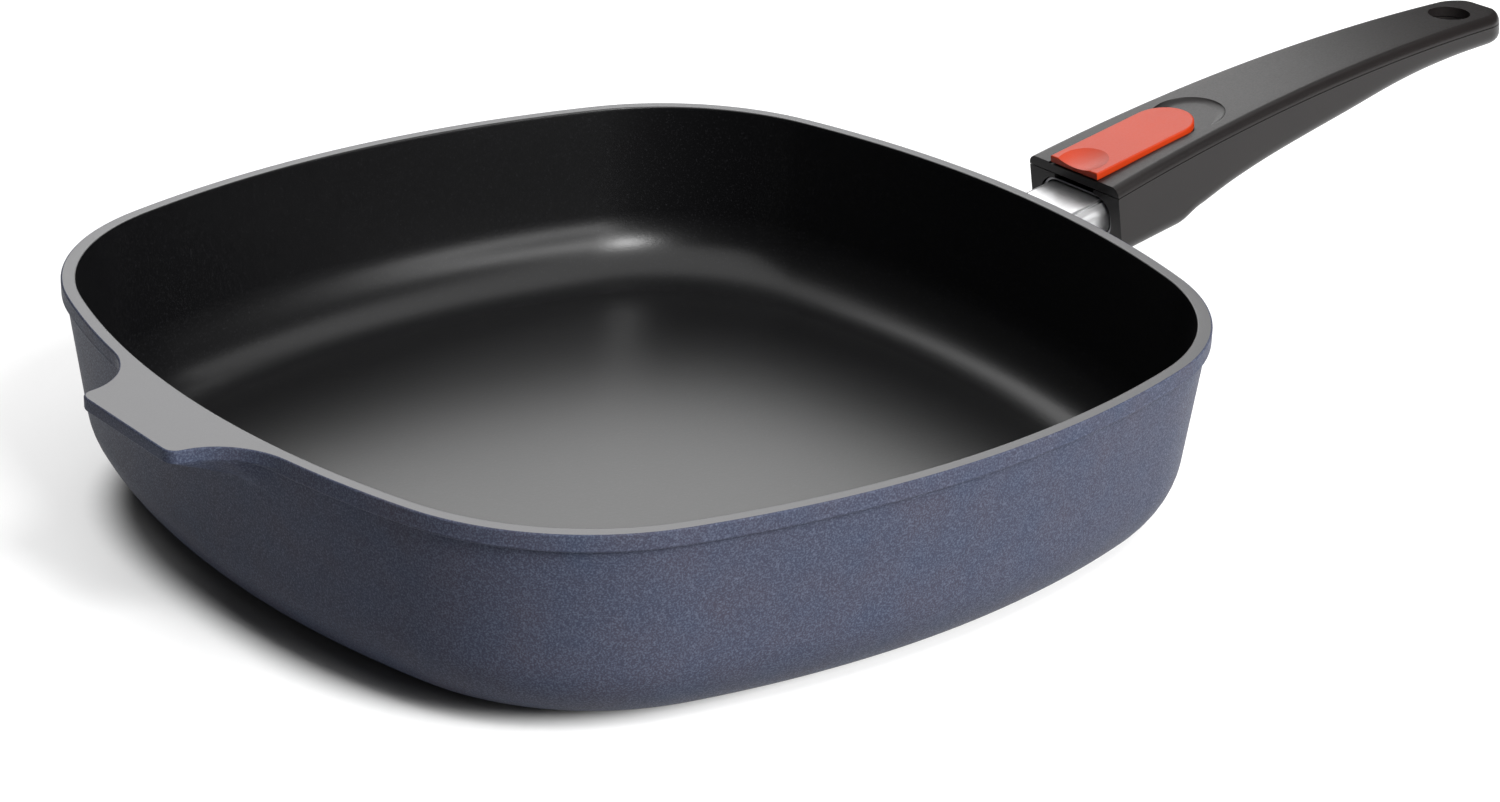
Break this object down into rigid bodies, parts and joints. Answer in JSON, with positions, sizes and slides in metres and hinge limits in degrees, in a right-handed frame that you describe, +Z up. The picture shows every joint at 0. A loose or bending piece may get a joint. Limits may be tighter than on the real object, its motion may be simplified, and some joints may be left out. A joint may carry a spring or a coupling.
{
  "type": "square frying pan",
  "caption": "Square frying pan of cast aluminium with a rounded plan, a cast grip tab and a black handle that pulls off its stub when a red slider is drawn back.",
  "frame": {"origin": "middle of the flat underside of the pan", "axes": "+X towards the handle, +Z up, +Y to the left as seen from the grip tab towards the handle"},
  "size_m": [0.5217, 0.288, 0.0815],
  "materials": {
    "coated_casting": "cast, with a dark blue-grey baked coat outside, black non-stick inside and a bare turned rim",
    "polished_aluminium": "polished",
    "steel": "zinc plated",
    "spring_steel": "rolled and hardened",
    "black_plastic": "satin moulded",
    "red_plastic": "satin moulded",
    "dark_plastic": "moulded"
  },
  "bodies": {
    "pan": {"pan_body": "coated_casting", "handle_stub": "polished_aluminium", "stub_washer": "steel", "stub_screw": "steel"},
    "handle": {"handle_upper_shell": "black_plastic", "handle_lower_shell": "black_plastic", "socket_sleeve": "steel", "latch_leaf": "spring_steel", "return_spring": "spring_steel", "spring_guide_pin": "steel", "latch_screw_1": "steel", "latch_screw_2": "steel", "handle_screw_front_left": "steel", "handle_screw_front_right": "steel", "handle_screw_rear": "steel"},
    "slider": {"release_slider": "red_plastic", "slider_carriage": "dark_plastic", "carriage_screw_left": "steel", "carriage_screw_right": "steel"}
  },
  "joints": [
    {"name": "handle_pull", "type": "slide", "parent": "pan", "child": "handle", "axis": [0.9839, 0, 0.1788], "range_m": [0, 0.06], "deforming": ["latch_leaf"]},
    {"name": "release_slide", "type": "slide", "parent": "handle", "child": "slider", "axis": [0.9839, 0, 0.1788], "range_m": [0, 0.008], "stiffness_N_per_m": 500, "springref_m": -0.006, "deforming": ["return_spring", "latch_leaf"]}
  ]
}
